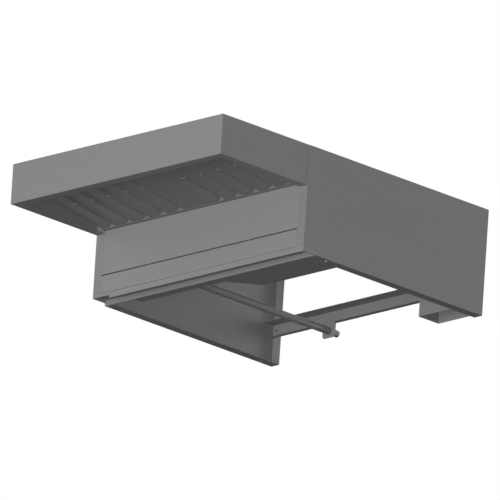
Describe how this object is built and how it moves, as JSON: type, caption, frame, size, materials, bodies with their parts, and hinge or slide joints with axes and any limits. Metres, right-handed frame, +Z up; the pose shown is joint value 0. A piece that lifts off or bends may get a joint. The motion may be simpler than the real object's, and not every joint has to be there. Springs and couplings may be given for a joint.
{
  "type": "exhaust canopy hood",
  "caption": "Low stainless exhaust hood that stands on an oven: a canopy with sloping baffle filters, a fan box, a hinged front flap, a rear vapour duct and a condensate drain.",
  "frame": {"origin": "middle of the footprint, level with the feet of the side panels", "axes": "+X to the right seen from the front, +Y from the canopy's front to the back, +Z up"},
  "size_m": [0.875, 1.144, 0.378],
  "materials": {
    "sheet": "satin brushed",
    "filter_steel": "satin",
    "galvanised": "galvanised",
    "motor_black": "satin",
    "rubber": "matte",
    "box_plastic": "matte",
    "fastener": "bright"
  },
  "bodies": {
    "hood": {"side_panel_left": "sheet", "side_panel_right": "sheet", "body_roof": "sheet", "canopy_roof": "sheet", "canopy_fascia": "sheet", "canopy_side_left": "sheet", "canopy_side_right": "sheet", "front_panel": "sheet", "drip_rail": "sheet", "inner_panel": "sheet", "rear_channel": "sheet", "drain_pipe": "sheet", "condensate_trough": "sheet", "vent_duct": "sheet", "duct_collar": "sheet", "filter_rail_front": "filter_steel", "filter_rail_rear": "filter_steel", "filter_blank": "filter_steel", "air_box": "galvanised", "fan_scroll": "galvanised", "fan_lid": "galvanised", "fan_inlet_ring": "galvanised", "outlet_box": "galvanised", "fan_stator": "motor_black", "fan_feet": "rubber", "junction_box": "box_plastic", "junction_lid": "box_plastic", "cable_gland": "box_plastic", "hinge_fixed_leaves": "fastener", "hinge_pins": "fastener", "collar_screws": "fastener", "canopy_bolts": "fastener", "channel_bolts": "fastener"},
    "flap": {"front_flap": "sheet", "hinge_flap_leaves": "fastener"},
    "filter_left": {"filter_left_frame": "filter_steel", "filter_left_gutters": "filter_steel", "filter_left_caps": "filter_steel", "filter_left_stays": "filter_steel"},
    "filter_right": {"filter_right_frame": "filter_steel", "filter_right_gutters": "filter_steel", "filter_right_caps": "filter_steel", "filter_right_stays": "filter_steel"},
    "fan": {"fan_rotor": "motor_black", "fan_wheel": "galvanised"}
  },
  "joints": [
    {"name": "flap_swing", "type": "hinge", "parent": "hood", "child": "flap", "pos_m": [0, -0.20925, 0.075], "axis": [-1, 0, 0], "range_deg": [0, 110]},
    {"name": "filter_left_lift", "type": "slide", "parent": "hood", "child": "filter_left", "axis": [0, -0.9914, 0.1305], "range_m": [0, 0.012]},
    {"name": "filter_right_lift", "type": "slide", "parent": "hood", "child": "filter_right", "axis": [0, -0.9914, 0.1305], "range_m": [0, 0.012]},
    {"name": "fan_spin", "type": "hinge", "parent": "hood", "child": "fan", "pos_m": [-0.10046, 0.02383, 0.24], "axis": [0, 0, 1], "continuous": true}
  ]
}
